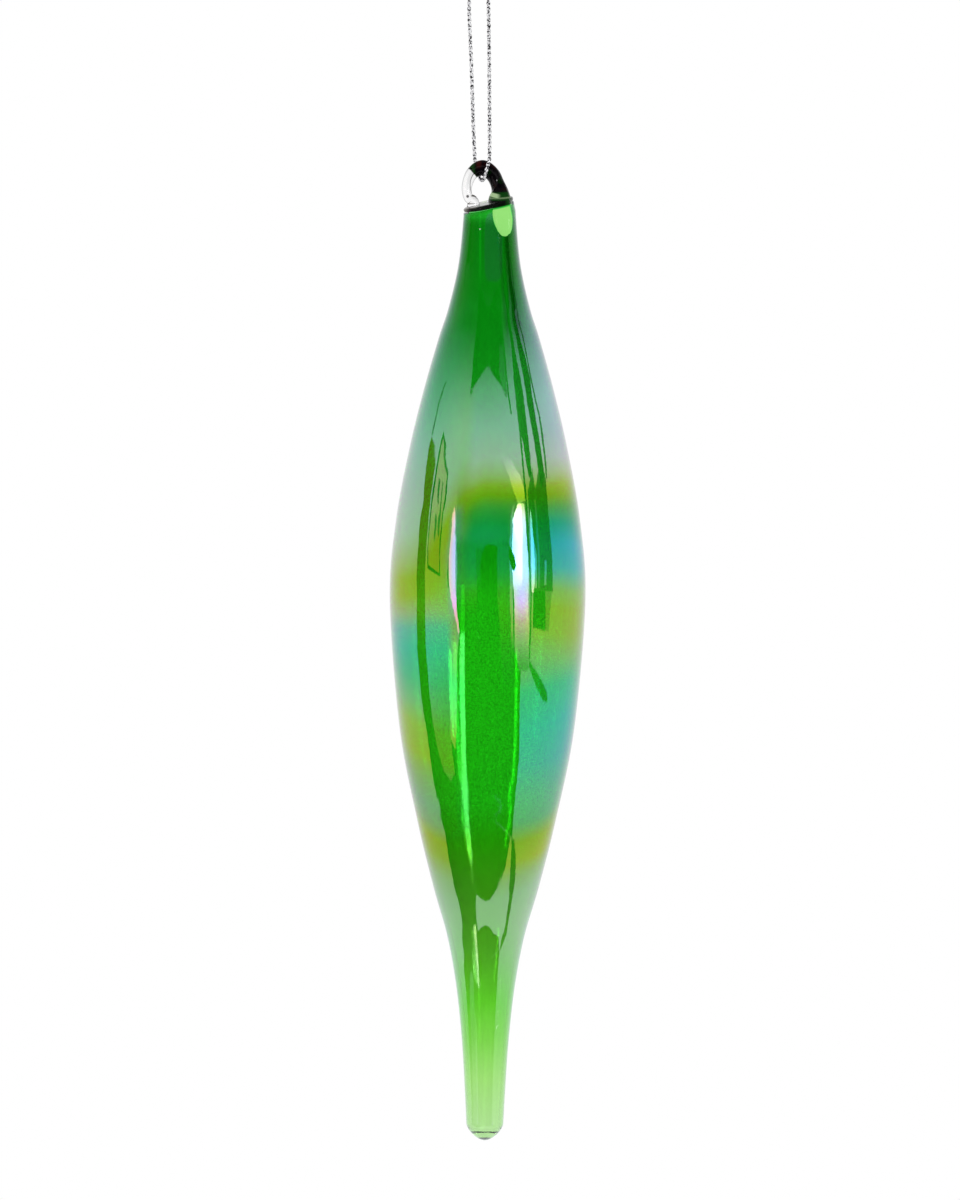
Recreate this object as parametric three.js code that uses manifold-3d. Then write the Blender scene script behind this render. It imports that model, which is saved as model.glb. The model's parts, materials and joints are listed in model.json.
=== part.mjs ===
// Blown glass finial ornament on a loop of silver thread cord.
// Millimetres, +Z up, seen from the front along +Y. The origin is where a hook bears in the cord's loop,
// just under its knot, and the glass hangs below it.

import * as THREE from "three";
import { mergeVertices } from "three/addons/utils/BufferGeometryUtils.js";
import Module from "manifold-3d";

const wasm = await Module();
wasm.setup();

// Driving dimensions of the blown body, each level measured down from the top of the neck
const neckRadius = 6.8;
const neckStraight = 4.3; // length of the neck before it starts to swell
const bellyRadius = 25.4;
const bellyDown = 104;
const stemRadius = 5.25;
const stemDown = 231;
const tipRadius = 4.8;
const tipDown = 239.7; // where the stem ends and the round tip starts
const tipHeight = 4.4;
const wall = 1.4;
const cavityFloor = 1.9; // from the end of the stem down to the flat floor of the hollow

// Driving dimensions of the neck's oblique mouth and of the plug of glass that closes it
const neckTopDown = 8.0; // from the middle of the ring's top rod to the top of the neck's outline
const mouthDown = 8.8; // from the same place to the plug's top face, on the neck's axis
const mouthRise = 13; // degrees that the mouth rises to the right
const mouthLean = 9.5; // degrees that the mouth leans to the front
const sealThickness = 1.1;
const plugLength = 3.2;

// Driving dimensions of the hanging ring
const ringOffset = 2.0; // from the neck's axis to the middle of the ring's top, to the left
const ringRodRadius = 2.05; // at the top of the ring
const holeWidth = 4.6;
const holeHeight = 6.6;
const thinLeg = 2.65; // width of the clear left leg
const thickLeg = 4.75; // width of the dark right leg
const footWidth = 5.4; // of the foot that is laid on the neck
const footDown = 18.6; // from the middle of the ring's top rod to the foot's lower end
const footProud = 0.9; // how far the foot stands out from the neck

// Driving dimensions of the cord
const cordDiameter = 1.0;
const hangDrop = 54; // from the hook to the middle of the ring's top rod
const cordLift = 2.6; // from that middle up to where the bight meets the two strands
const knotRadius = 1.15;
const knotHeight = 3.4;
const tailLength = 9;

const clearance = 0.3; // between pieces that touch
const roundSteps = 48;
const outlineSteps = 40;
const innerSteps = 24;
const cordSides = 8;
const cordStep = 2.5 * cordDiameter;

// Shape of the body between the named levels: [share of the way down, share of the swell]
const upperShape = [[0.127, 0.067], [0.238, 0.199], [0.388, 0.4435], [0.679, 0.817]];
const lowerShape = [[0.26, 0.866], [0.504, 0.553], [0.657, 0.283], [0.756, 0.141], [0.882, 0.05]];

const degrees = Math.PI / 180;

function material(color, roughness, metalness = 0, opacity = 1) {
  return new THREE.MeshStandardMaterial({
    color, roughness, metalness, opacity, transparent: opacity < 1, side: THREE.FrontSide,
  });
}

// Joining and cutting

function solid(geometry) {
  const bare = geometry.index ? geometry.clone() : geometry;
  bare.deleteAttribute("normal");
  bare.deleteAttribute("uv");
  const merged = mergeVertices(bare, 1e-4);
  return new wasm.Manifold(new wasm.Mesh({
    numProp: 3,
    vertProperties: new Float32Array(merged.attributes.position.array),
    triVerts: new Uint32Array(merged.index.array),
  }));
}

function geometryOf(manifold) {
  const { vertProperties, triVerts } = manifold.getMesh();
  const geometry = new THREE.BufferGeometry();
  geometry.setAttribute("position", new THREE.BufferAttribute(new Float32Array(vertProperties), 3));
  geometry.setIndex(new THREE.BufferAttribute(new Uint32Array(triVerts), 1));
  geometry.computeVertexNormals();
  return geometry;
}

// A solid of revolution about Z from [radius, level] points that start and end on the axis, top first
function turned(points) {
  const profile = [...points].reverse().map(([radius, level]) => new THREE.Vector2(radius, level));
  return new THREE.LatheGeometry(profile, roundSteps).rotateX(Math.PI / 2);
}

// A closed skin through rings of points, all with the same number of points, with a flat cap at each end
function lofted(rings) {
  const count = rings[0].length;
  const positions = rings.flat().flatMap((point) => point.toArray());
  const faces = [];
  for (let ring = 0; ring + 1 < rings.length; ring += 1) {
    for (let side = 0; side < count; side += 1) {
      const here = ring * count + side;
      const next = ring * count + ((side + 1) % count);
      faces.push(here, next, next + count, here, next + count, here + count);
    }
  }
  const last = (rings.length - 1) * count;
  for (let side = 1; side + 1 < count; side += 1) {
    faces.push(0, side + 1, side, last, last + side, last + side + 1);
  }
  const geometry = new THREE.BufferGeometry();
  geometry.setAttribute("position", new THREE.Float32BufferAttribute(positions, 3));
  geometry.setIndex(faces);
  return geometry;
}

// Outline of the body: points from the top of the neck down to the end of the stem, drawn in by an inset
function stations(inset) {
  const upper = upperShape.map(([share, swell]) => [
    neckRadius + swell * (bellyRadius - neckRadius),
    neckStraight + share * (bellyDown - neckStraight),
  ]);
  const lower = lowerShape.map(([share, swell]) => [
    stemRadius + swell * (bellyRadius - stemRadius),
    bellyDown + share * (stemDown - bellyDown),
  ]);
  const points = [
    [neckRadius, 0], [neckRadius, neckStraight], ...upper,
    [bellyRadius, bellyDown], ...lower,
    [stemRadius, stemDown], [tipRadius, tipDown],
  ];
  return points.map(([radius, down]) => new THREE.Vector2(radius - inset, -down));
}

function outline(inset, steps) {
  return new THREE.SplineCurve(stations(inset)).getSpacedPoints(steps).map((point) => [point.x, point.y]);
}

// The round tip, a little more pointed than half a ball
function tip(steps) {
  return Array.from({ length: steps }, (_, step) => {
    const share = (step + 1) / steps;
    return [tipRadius * (1 - share ** 1.5) ** 0.62, -tipDown - tipHeight * share];
  });
}

// Everything below the mouth's plane, moved up along the neck's axis by a lift
function belowMouth(lift) {
  const size = 4 * bellyRadius + 2 * (tipDown + tipHeight);
  const block = new THREE.BoxGeometry(size, size, size).translate(0, 0, -size / 2);
  block.rotateY(-mouthRise * degrees).rotateX(mouthLean * degrees);
  return solid(block.translate(0, 0, neckTopDown - mouthDown + lift));
}

// The neck as a full rod, wider than the body by a given amount
function neckRod(grow) {
  const reach = neckTopDown + neckRadius;
  const side = outline(-grow, outlineSteps).filter(([, level]) => level > -2 * footDown);
  return solid(turned([[0, reach], [neckRadius + grow, reach], ...side, [0, side.at(-1)[1]]]));
}

function bodyGeometry() {
  const outer = outline(0, outlineSteps);
  const inner = outline(wall, innerSteps).filter(([, level]) => level > -tipDown);
  const floor = -tipDown - cavityFloor;
  const shell = solid(turned([[0, 0], ...outer, ...tip(6)]));
  const top = solid(turned([[0, 1], [neckRadius - wall, 1], ...inner, [tipRadius - wall, floor], [0, floor]]));
  return geometryOf(shell.subtract(top).intersect(belowMouth(-sealThickness - clearance)));
}

function sealGeometry() {
  const cap = neckRod(0).intersect(belowMouth(0)).subtract(belowMouth(-sealThickness));
  const bore = neckRadius - wall - clearance;
  const end = neckTopDown - mouthDown - sealThickness - plugLength;
  const top = end + plugLength + 2 * neckRadius;
  const plug = solid(turned([[0, top], [bore, top], [bore, end], [0, end]]));
  return geometryOf(cap.add(plug.intersect(belowMouth(-sealThickness / 2))));
}

// The ring's rod, from the foot on the neck's right front, over the top, down to the left leg's end.
// Each station is [x, y, z, width, depth], measured from the middle of the rod at the top of the ring.
function ringStations() {
  const holeMiddle = -ringRodRadius - holeHeight / 2;
  const right = (holeWidth + thickLeg) / 2;
  const left = (holeWidth + thinLeg) / 2;
  const footX = ringOffset + 0.48 * neckRadius;
  const footY = -0.88 * (neckRadius + clearance) - footProud / 2;
  const rim = -mouthDown;
  return [
    [footX + 0.35, footY - 0.3, -footDown, 0.35 * footWidth, 0.7],
    [footX + 0.25, footY - 0.15, -footDown + 1.5, 0.82 * footWidth, 1.8],
    [footX + 0.1, footY, -footDown + 4.2, footWidth, 2.4],
    [footX + 0.1, footY + 0.9, rim - 1.2, 1.08 * footWidth, 3.2],
    [right + 0.8, -2.6, rim + 1.2, 1.2 * thickLeg, 4.6],
    [right + 0.2, -0.6, holeMiddle - 0.8, 1.06 * thickLeg, 4.5],
    [right - 0.1, 0, holeMiddle + 1.4, 0.94 * thickLeg, 4.3],
    [0.62 * right, 0, -0.24 * holeHeight, 2 * ringRodRadius, 4.1],
    [0, 0, 0, 2 * ringRodRadius, 2 * ringRodRadius],
    [-0.66 * left, 0, -0.22 * holeHeight, 0.8 * 2 * ringRodRadius, 3.6],
    [-left, 0, holeMiddle + 0.3, thinLeg, 3],
    [-0.87 * left, 0, holeMiddle - 2.4, 0.95 * thinLeg, 2.8],
    [-0.68 * left, 0, rim + 0.2, 1.15 * thinLeg, 3.2],
    [-0.6 * left, 0, rim - 3, 1.4 * thinLeg, 3.4],
  ];
}

function ringGeometry() {
  const marks = ringStations();
  const path = new THREE.CatmullRomCurve3(marks.map(([x, y, z]) => new THREE.Vector3(x, y, z)));
  const girth = new THREE.SplineCurve(marks.map(([, , , width, depth]) => new THREE.Vector2(width, depth)));
  const steps = 3 * (marks.length - 1);
  const sides = 14;
  const forward = new THREE.Vector3(0, 1, 0);
  const rings = Array.from({ length: steps + 1 }, (_, step) => {
    const share = step / steps;
    const centre = path.getPoint(share);
    const along = path.getTangent(share);
    const across = new THREE.Vector3().crossVectors(forward, along).normalize();
    const out = new THREE.Vector3().crossVectors(along, across);
    const size = girth.getPoint(share);
    return Array.from({ length: sides }, (__, side) => {
      const turn = (2 * Math.PI * side) / sides;
      return centre.clone()
        .addScaledVector(across, (size.x / 2) * Math.cos(turn))
        .addScaledVector(out, (size.y / 2) * Math.sin(turn));
    });
  });
  const neck = neckRod(clearance).intersect(belowMouth(clearance)).translate([ringOffset, 0, -neckTopDown]);
  return geometryOf(solid(lofted(rings)).subtract(neck));
}

// Cord. The route's points are chosen by hand, measured from the hook.

const strandFront = [
  [0.62, -0.15, 0.3], [0.95, -0.25, -1.6], [1.75, -0.5, -5.2], [2.05, -0.85, -10.5],
  [2.1, -1.9, -28], [2.0, -2.75, -44], [1.9, -3.05, clearance + cordLift - hangDrop],
];
const strandBack = [
  [-0.62, 0.15, 0.3], [-1.15, 0.25, -1.6], [-2.4, 0.5, -5.2], [-2.9, 0.85, -10.5],
  [-2.5, 1.9, -28], [-2.15, 2.75, -44], [-1.9, 3.05, clearance + cordLift - hangDrop],
];

// The bight, measured from the middle of the ring's top rod
const bight = [
  [1.9, -3.08, cordLift], [1.85, -3.2, 1.9], [1.55, -3.5, 0.7], [1.05, -3.35, -0.9], [0.5, -2.15, -2.7],
  [0, 0, -3.2],
  [-0.5, 2.15, -2.7], [-1.05, 3.35, -0.9], [-1.55, 3.5, 0.7], [-1.85, 3.2, 1.9], [-1.9, 3.08, cordLift],
];

function cordGeometry(points, step) {
  const curve = new THREE.CatmullRomCurve3(points.map((point) => new THREE.Vector3(...point)));
  const section = new THREE.Shape();
  for (let side = 0; side < cordSides; side += 1) {
    const turn = (2 * Math.PI * side) / cordSides;
    const corner = [(cordDiameter / 2) * Math.cos(turn), (cordDiameter / 2) * Math.sin(turn)];
    if (side === 0) section.moveTo(...corner);
    else section.lineTo(...corner);
  }
  const steps = Math.round(curve.getLength() / step);
  return new THREE.ExtrudeGeometry(section, { steps, extrudePath: curve, bevelEnabled: false });
}

// The knot: two crossed wraps round a core, with the two strands' stubs below and the two tails above
function knotGeometry() {
  const [stubX, stubY, strandTop] = strandFront[0];
  const low = strandTop + clearance;
  const middle = low + knotHeight / 2;
  const core = new THREE.CylinderGeometry(knotRadius, knotRadius, 0.7 * knotHeight, 20).rotateX(Math.PI / 2);
  const pieces = [solid(core.translate(0, 0, middle))];
  for (const lean of [-24, 24]) {
    const wrap = new THREE.TorusGeometry(knotRadius, 0.62 * cordDiameter, 10, 24);
    wrap.rotateX(lean * degrees).rotateZ(0.5 * lean * degrees);
    pieces.push(solid(wrap.translate(0, 0, middle + 0.0075 * lean * knotHeight)));
  }
  for (const side of [-1, 1]) {
    pieces.push(solid(cordGeometry([
      [side * stubX, -side * stubY, low], [side * stubX, -side * stubY, middle],
    ], cordStep)));
    pieces.push(solid(cordGeometry([
      [side * stubX, 0, middle], [side * 0.8, side * 0.3, middle + 0.6 * knotHeight],
      [side * 1.6, side * 0.8, middle + 0.6 * tailLength], [side * 2.1, side * 0.9, middle + tailLength],
    ], cordStep)));
  }
  return geometryOf(pieces.reduce((whole, piece) => whole.add(piece)));
}

// Volume and first moment of a closed mesh, for the balance of the hanging glass
function moment(mesh) {
  const flat = mesh.geometry.toNonIndexed().attributes.position;
  const corner = (index) => new THREE.Vector3().fromBufferAttribute(flat, index).add(mesh.position);
  const sum = new THREE.Vector3();
  let volume = 0;
  for (let index = 0; index < flat.count; index += 3) {
    const [a, b, c] = [corner(index), corner(index + 1), corner(index + 2)];
    const part = a.dot(new THREE.Vector3().crossVectors(b, c)) / 6;
    volume += part;
    sum.addScaledVector(a.add(b).add(c), part / 4);
  }
  return { volume, sum };
}

function named(name, geometry, finish) {
  const mesh = new THREE.Mesh(geometry, finish);
  mesh.name = name;
  return mesh;
}

// The glass, measured from the middle of the ring's top rod, turned until it hangs in balance
function glass() {
  const group = new THREE.Group();
  const body = named("glass_body", bodyGeometry(), material(0x1d9a3a, 0.06, 0, 0.6));
  const seal = named("neck_seal", sealGeometry(), material(0x5c8a64, 0.05, 0, 0.5));
  const ring = named("hanging_ring", ringGeometry(), material(0x1a2a20, 0.04, 0, 0.7));
  body.position.set(ringOffset, 0, -neckTopDown);
  seal.position.copy(body.position);
  group.add(body, seal, ring);
  const balance = new THREE.Vector3();
  for (const mesh of group.children) balance.add(moment(mesh).sum);
  group.rotation.y = Math.atan2(balance.x, -balance.z);
  group.position.z = -hangDrop;
  return group;
}

function cord() {
  const group = new THREE.Group();
  const saddle = named("cord_bight", cordGeometry(bight, 0.45 * cordStep), material(0xc9cbd0, 0.35, 0.8));
  saddle.position.z = -hangDrop;
  group.add(
    saddle,
    named("cord_strand_front", cordGeometry(strandFront, cordStep), material(0xc9cbd0, 0.35, 0.8)),
    named("cord_strand_back", cordGeometry(strandBack, cordStep), material(0xc9cbd0, 0.35, 0.8)),
    named("cord_knot", knotGeometry(), material(0xc4c6cb, 0.4, 0.8)),
  );
  return group;
}

const ornament = new THREE.Group();
ornament.add(glass(), cord());

export default ornament;
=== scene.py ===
import json
import math

import bmesh
import bpy
from mathutils import Matrix, Vector
from mathutils.bvhtree import BVHTree

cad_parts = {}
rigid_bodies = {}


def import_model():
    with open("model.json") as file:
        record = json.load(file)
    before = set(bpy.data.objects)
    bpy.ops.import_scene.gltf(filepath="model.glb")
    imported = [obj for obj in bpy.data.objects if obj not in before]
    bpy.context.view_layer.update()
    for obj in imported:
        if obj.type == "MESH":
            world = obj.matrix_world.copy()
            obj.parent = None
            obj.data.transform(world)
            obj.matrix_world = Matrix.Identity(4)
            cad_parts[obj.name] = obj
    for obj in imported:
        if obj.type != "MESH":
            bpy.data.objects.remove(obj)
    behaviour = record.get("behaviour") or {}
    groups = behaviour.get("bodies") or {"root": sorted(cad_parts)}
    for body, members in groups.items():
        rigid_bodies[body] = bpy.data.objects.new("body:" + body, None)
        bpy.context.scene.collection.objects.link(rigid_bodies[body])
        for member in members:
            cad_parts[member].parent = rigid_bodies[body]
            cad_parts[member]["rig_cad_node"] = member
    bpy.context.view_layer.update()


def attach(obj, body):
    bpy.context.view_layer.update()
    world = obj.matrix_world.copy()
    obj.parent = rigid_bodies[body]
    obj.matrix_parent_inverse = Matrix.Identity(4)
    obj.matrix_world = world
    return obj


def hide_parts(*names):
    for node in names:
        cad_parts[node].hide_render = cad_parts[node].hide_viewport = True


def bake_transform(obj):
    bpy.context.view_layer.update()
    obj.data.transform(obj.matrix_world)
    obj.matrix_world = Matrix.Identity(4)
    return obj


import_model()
scene = bpy.context.scene
mm = 0.001  # the scene is in metres, the sizes here are in mm
white = (1.0, 1.0, 1.0)

# where the glass hangs, as in the part's own sizes
hang = {
    "rodDrop": 54,  # hook to the middle of the ring's top rod
    "ringOffset": 2.0,  # that middle to the neck's axis, to the right
    "neckTopDown": 8.0,
}

# camera first: level with the middle of the photograph, through a long lens
shot = {
    "pixel": 0.2592,  # mm on the object for one pixel of the photograph
    "width": 960,
    "height": 1200,
    "middleAcross": -1.9,  # the picture's middle, from the hook, in mm
    "middleDown": -166.0,
    "distance": 1600.0,
    "roll": 0.67,  # degrees that the photograph is turned
    "sensor": 36.0,
}


def makeCamera():
    camera = bpy.data.objects.new("camera", bpy.data.cameras.new("camera"))
    scene.collection.objects.link(camera)
    camera.data.sensor_fit = "VERTICAL"
    camera.data.sensor_height = shot["sensor"]
    camera.data.lens = shot["sensor"] * shot["distance"] / (shot["height"] * shot["pixel"])
    camera.data.clip_start = 0.05
    camera.data.clip_end = 20
    camera.location = Vector((shot["middleAcross"], -shot["distance"], shot["middleDown"])) * mm
    turn = Matrix.Rotation(math.radians(90), 3, "X") @ Matrix.Rotation(math.radians(-shot["roll"]), 3, "Z")
    camera.rotation_euler = turn.to_euler()
    scene.camera = camera


makeCamera()
print("scene: camera is in place")


# geometry helpers

def smoothLine(points, perSpan, power=0.5):
    # a curve through the points; power 0 spaces its knots evenly, 0.5 by the root of the distance
    marks = [Vector(p) for p in points]
    line = []
    for i in range(len(marks) - 1):
        b, c = marks[i], marks[i + 1]
        a = marks[i - 1] if i else (2 * b - c if power else b)
        d = marks[i + 2] if i + 2 < len(marks) else (2 * c - b if power else c)
        before, span, after = ((q - p).length ** power if power else 1.0 for p, q in ((a, b), (b, c), (c, d)))
        before, after = before or span, after or span
        leave = ((b - a) / before - (c - a) / (before + span) + (c - b) / span) * span
        arrive = ((c - b) / span - (d - b) / (span + after) + (d - c) / after) * span
        for step in range(perSpan):
            t = step / perSpan
            line.append(
                b * (2 * t**3 - 3 * t**2 + 1) + leave * (t**3 - 2 * t**2 + t)
                + c * (3 * t**2 - 2 * t**3) + arrive * (t**3 - t**2)
            )
    return line + [marks[-1]]


def evenSteps(line, step):
    # the same line with points a set distance apart
    reach = [0.0]
    for a, b in zip(line, line[1:]):
        reach.append(reach[-1] + (b - a).length)
    count = max(2, round(reach[-1] / step))
    made, k = [], 0
    for i in range(count + 1):
        want = reach[-1] * i / count
        while k < len(reach) - 2 and reach[k + 1] < want:
            k += 1
        share = (want - reach[k]) / max(reach[k + 1] - reach[k], 1e-12)
        made.append(line[k].lerp(line[k + 1], min(share, 1.0)))
    return made


def headingAt(line, i):
    # the direction of a line at its point i
    return (line[min(i + 1, len(line) - 1)] - line[max(i - 1, 0)]).normalized()


def squareTo(along, side):
    # the direction nearest to side that is square to along
    return (side - along * side.dot(along)).normalized()


def turnsOf(sides):
    # angles once round, in equal steps
    return [2 * math.pi * k / sides for k in range(sides)]


def ovalRing(centre, across, out, wide, deep, sides):
    # points round an oval that reaches wide and deep along its two directions
    return [centre + across * (wide * math.cos(a)) + out * (deep * math.sin(a)) for a in turnsOf(sides)]


def newPiece(name, mesh, body=None, nodes=(), smooth=True):
    piece = bpy.data.objects.new(name, mesh)
    scene.collection.objects.link(piece)
    if smooth:
        mesh.polygons.foreach_set("use_smooth", [True] * len(mesh.polygons))
    if body:
        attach(piece, body)
    if nodes:
        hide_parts(*nodes)
    return piece


def skinRings(bm, rings, closeStart=False, closeEnd=False):
    # quads between rings of points; returns the rings of vertices
    made = [[bm.verts.new(p) for p in ring] for ring in rings]
    for low, high in zip(made, made[1:]):
        for i in range(len(low)):
            bm.faces.new((low[i - 1], low[i], high[i], high[i - 1]))
    if closeStart:
        bm.faces.new(list(reversed(made[0])))
    if closeEnd:
        bm.faces.new(made[-1])
    return made


def capRing(bm, ring, place):
    # triangles from a ring of vertices to one more at the place
    middle = bm.verts.new(place)
    for i in range(len(ring)):
        bm.faces.new((ring[i - 1], ring[i], middle))
    return middle


def meshFrom(bm, name):
    bmesh.ops.recalc_face_normals(bm, faces=bm.faces)
    mesh = bpy.data.meshes.new(name)
    bm.to_mesh(mesh)
    bm.free()
    return mesh


# shader maths: a wire is one socket, and arithmetic on it adds the nodes

class Wire:
    def __init__(self, paint, socket):
        self.paint = paint
        self.socket = socket

    def __add__(self, other):
        return self.paint.combine("ADD", self, other)

    def __radd__(self, other):
        return self.paint.combine("ADD", other, self)

    def __sub__(self, other):
        return self.paint.combine("SUBTRACT", self, other)

    def __rsub__(self, other):
        return self.paint.combine("SUBTRACT", other, self)

    def __mul__(self, other):
        return self.paint.combine("MULTIPLY", self, other)

    def __rmul__(self, other):
        return self.paint.combine("MULTIPLY", other, self)

    def __truediv__(self, other):
        return self.paint.combine("DIVIDE", self, other)

    def __rtruediv__(self, other):
        return self.paint.combine("DIVIDE", other, self)


class Paint:
    # the nodes of one material, or of the world
    def __init__(self, name, kind="materials"):
        self.owner = getattr(bpy.data, kind).new(name)
        self.owner.use_nodes = True
        self.tree = self.owner.node_tree
        self.tree.nodes.clear()

    def feed(self, socket, value):
        if isinstance(value, Wire):
            self.tree.links.new(value.socket, socket)
            return
        if socket.type in ("RGBA", "VECTOR") and not hasattr(value, "__len__"):
            value = (value, value, value)
        socket.default_value = (*value[:3], 1.0) if socket.type == "RGBA" else value

    def node(self, kind, settings=None, inputs=None, output=0):
        made = self.tree.nodes.new(kind)
        for key, value in (settings or {}).items():
            if key == "stops":
                self.setStops(made.color_ramp, value)
            else:
                setattr(made, key, value)
        for key, value in (inputs or {}).items():
            self.feed(made.inputs[key], value)
        return Wire(self, made.outputs[output]) if made.outputs else None

    def setStops(self, ramp, stops):
        ramp.interpolation = "LINEAR"
        while len(ramp.elements) < len(stops):
            ramp.elements.new(0.5)
        for element, (at, color) in zip(ramp.elements, sorted(stops)):
            element.position = at
            element.color = (*color[:3], 1.0)

    def combine(self, operation, left, right):
        kinds = {item.socket.type for item in (left, right) if isinstance(item, Wire)}
        if "VECTOR" in kinds:
            return self.node("ShaderNodeVectorMath", {"operation": operation}, {0: left, 1: right})
        if "RGBA" in kinds:
            settings = {"data_type": "RGBA", "blend_type": operation}
            return self.node("ShaderNodeMix", settings, {0: 1.0, 6: left, 7: right}, 2)
        return self.maths(operation, left, right)

    def maths(self, operation, *values):
        return self.node("ShaderNodeMath", {"operation": operation}, dict(enumerate(values)))

    def most(self, first, second):
        return self.maths("MAXIMUM", first, second)

    def rise(self, value, low, high):
        # 0 below low, 1 above high, smooth between
        inputs = {"Value": value, "From Min": low, "From Max": high}
        return self.node("ShaderNodeMapRange", {"interpolation_type": "SMOOTHSTEP"}, inputs)

    def span(self, value, start, whole, fall, end):
        # 0 up to start, 1 from whole to fall, 0 again from end
        return self.rise(value, start, whole) * (1 - self.rise(value, fall, end))

    def bump(self, value, middle, half):
        # 1 at the middle, falling smoothly to 0 at half away on each side
        return 1 - self.rise(self.maths("ABSOLUTE", value - middle), 0, half)

    def between(self, factor, first, second):
        return self.node("ShaderNodeMix", {"data_type": "RGBA"}, {0: factor, 6: first, 7: second}, 2)

    def coated(self, color, coats):
        # coats laid over a colour in turn, each (where it lies, its colour)
        for where, coat in coats:
            color = self.between(where, color, coat)
        return color

    def ramp(self, down, stops):
        # colour from a table of (mm down the drop, colour)
        stops = [(at / look["fullDown"], color) for at, color in stops]
        return self.node("ShaderNodeValToRGB", {"stops": stops}, {0: down / look["fullDown"]}, "Color")

    def parts(self, vector):
        return [self.node("ShaderNodeSeparateXYZ", {}, {0: vector}, axis) for axis in "XYZ"]

    def away(self, spot, place):
        # distance from a place
        return self.node("ShaderNodeVectorMath", {"operation": "DISTANCE"}, {0: spot, 1: place}, "Value")

    def place(self):
        return self.node("ShaderNodeTexCoord", output="Object")

    def facing(self):
        # 0 where the eye meets the surface squarely, 1 at its edges
        return self.node("ShaderNodeLayerWeight", {}, {"Blend": 0.5}, "Facing")

    def glassSpot(self):
        # place on the drop in mm: x right, y back, z up, from the middle of the ring's top rod
        inputs = {"Vector": self.place() - (0, 0, -hang["rodDrop"] * mm), "Angle": -glassLean}
        return self.node("ShaderNodeVectorRotate", {"rotation_type": "Y_AXIS"}, inputs) * (1 / mm)

    def mouthHeight(self, x, y, z):
        # height over the plane of the neck's oblique mouth, in mm
        normal = mouthNormal()
        return (x - hang["ringOffset"]) * normal.x + y * normal.y + (z + drop["mouthDown"]) * normal.z

    def noise(self, vector, scale, detail=2.0, rough=0.5, stretch=None):
        if stretch:
            vector = vector * stretch
        inputs = {"Vector": vector, "Scale": scale, "Detail": detail, "Roughness": rough}
        return self.node("ShaderNodeTexNoise", {}, inputs, "Fac")

    def bumped(self, height, strength, distance):
        inputs = {"Height": height, "Strength": strength, "Distance": distance}
        return self.node("ShaderNodeBump", {}, inputs, "Normal")

    def plainlySeen(self):
        # 1 for the camera, gloss and clear glass, 0 for the rays that light and shade
        kinds = ("Camera", "Glossy", "Transmission")
        camera, gloss, clear = (self.node("ShaderNodeLightPath", output=f"Is {kind} Ray") for kind in kinds)
        return self.most(self.most(camera, gloss), clear)

    def surface(self, inputs):
        return self.node("ShaderNodeBsdfPrincipled", {}, inputs)

    def glass(self, color, bend, shine=white):
        clear = {"Transmission Weight": 1.0, "Roughness": 0.0, "IOR": bend, "Specular Tint": shine}
        return self.surface({"Base Color": color, **clear})

    def mixed(self, factor, first, second):
        return self.node("ShaderNodeMixShader", {}, {0: factor, 1: first, 2: second})

    def finish(self, shader):
        kind = "World" if isinstance(self.owner, bpy.types.World) else "Material"
        self.node(f"ShaderNodeOutput{kind}", {}, {"Surface": shader})
        return self.owner


def ink(red, green, blue):
    # a colour as seen on a screen, 0 to 255, as the linear light that shaders use
    return tuple(
        value / 12.92 if value <= 0.04045 else ((value + 0.055) / 1.055) ** 2.4
        for value in (red / 255, green / 255, blue / 255)
    )


# cord: one length of twisted silver thread, from the knot down, through the ring and up again
cord = {
    "diameter": 1.0,
    "plies": 2,
    "plyRadius": 0.245,
    "pitch": 2.9,
    "step": 0.13,
    "sides": 8,
    "pathEvery": 6,  # which of the line's points its path keeps
    "bendFrom": -4.0,  # height where it starts to bend between its bodies, from the hook
    "bendTo": 2.6,  # and where that ends, from the middle of the ring's top rod
}
strandFront = [
    (0.62, -0.15, 0.3), (0.95, -0.25, -1.6), (1.75, -0.5, -5.2), (2.05, -0.85, -10.5),
    (2.1, -1.9, -28), (2.0, -2.75, -44),
]
bight = [
    (1.9, -3.08, 2.6), (1.85, -3.2, 1.9), (1.55, -3.5, 0.7), (1.05, -3.35, -0.9), (0.5, -2.15, -2.7),
    (0, 0, -3.2),
    (-0.5, 2.15, -2.7), (-1.05, 3.35, -0.9), (-1.55, 3.5, 0.7), (-1.85, 3.2, 1.9), (-1.9, 3.08, 2.6),
]
strandBack = [
    (-2.15, 2.75, -44), (-2.5, 1.9, -28), (-2.9, 0.85, -10.5), (-2.4, 0.5, -5.2),
    (-1.15, 0.25, -1.6), (-0.62, 0.15, 0.3),
]
cordRoute = [*strandFront, *((x, y, z - hang["rodDrop"]) for x, y, z in bight), *strandBack]


def twistedCord(bm, line):
    # plies wound round the line, each a thin tube
    side = (line[1] - line[0]).orthogonal().normalized()
    stations, reach = [], 0.0
    for i, point in enumerate(line):
        along = headingAt(line, i)
        side = squareTo(along, side)
        reach += (point - line[i - 1]).length if i else 0.0
        stations.append((point, side, along.cross(side), reach))
    thin = cord["plyRadius"]
    wind = cord["diameter"] / 2 - thin
    for ply in range(cord["plies"]):
        centres = []
        for point, side, over, reach in stations:
            turn = 2 * math.pi * (reach / cord["pitch"] + ply / cord["plies"])
            centres.append(point + (side * math.cos(turn) + over * math.sin(turn)) * wind)
        rings = []
        for i, centre in enumerate(centres):
            along = headingAt(centres, i)
            edge = squareTo(along, stations[i][1])
            ring = ovalRing(centre, edge, along.cross(edge), thin, thin, cord["sides"])
            rings.append([point * mm for point in ring])
        skinRings(bm, rings, True, True)


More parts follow.
